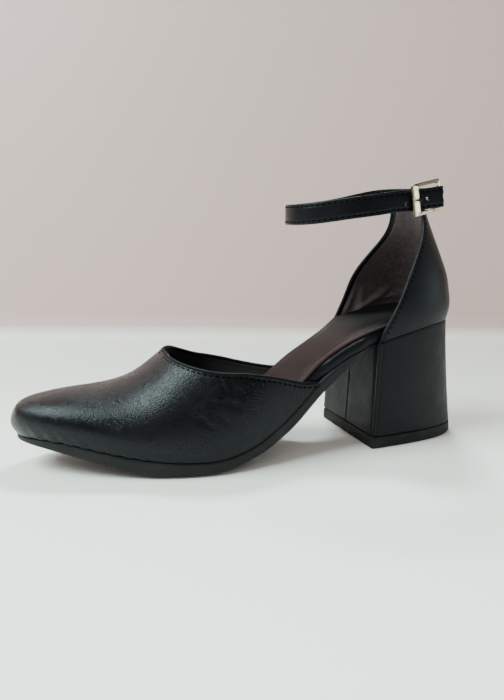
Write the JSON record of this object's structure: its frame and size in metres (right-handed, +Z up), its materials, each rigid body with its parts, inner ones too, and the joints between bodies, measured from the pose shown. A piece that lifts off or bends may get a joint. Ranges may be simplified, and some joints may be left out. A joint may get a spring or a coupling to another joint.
{
  "type": "ankle-strap court shoe with block heel",
  "caption": "Left women's court shoe with closed pointed toe, open sides, closed back, buckled ankle strap and covered block heel, standing empty on its sole.",
  "frame": {"origin": "on the floor under the heel, at the middle of the heel's resting face", "axes": "+Z up, toe towards -X, outer (lateral) side of the foot towards -Y"},
  "size_m": [0.2414, 0.0743, 0.1389],
  "materials": {
    "outsole_rubber": "satin black moulded rubber",
    "insole_wrap": "satin black wrap",
    "sock_leather": "matt dark brown-grey",
    "heel_cover": "satin black",
    "top_piece_rubber": "matt black",
    "upper_leather": "satin black, fine grain",
    "strap_leather": "satin black, stitched",
    "buckle_gold": "polished pale gold"
  },
  "bodies": {
    "root": {"outsole": "outsole_rubber", "insole_board": "insole_wrap", "sock_lining": "sock_leather", "heel_block": "heel_cover", "heel_top_piece": "top_piece_rubber", "vamp": "upper_leather", "counter": "upper_leather", "ankle_strap": "strap_leather", "buckle_frame": "buckle_gold", "buckle_prong": "buckle_gold"}
  },
  "joints": []
}
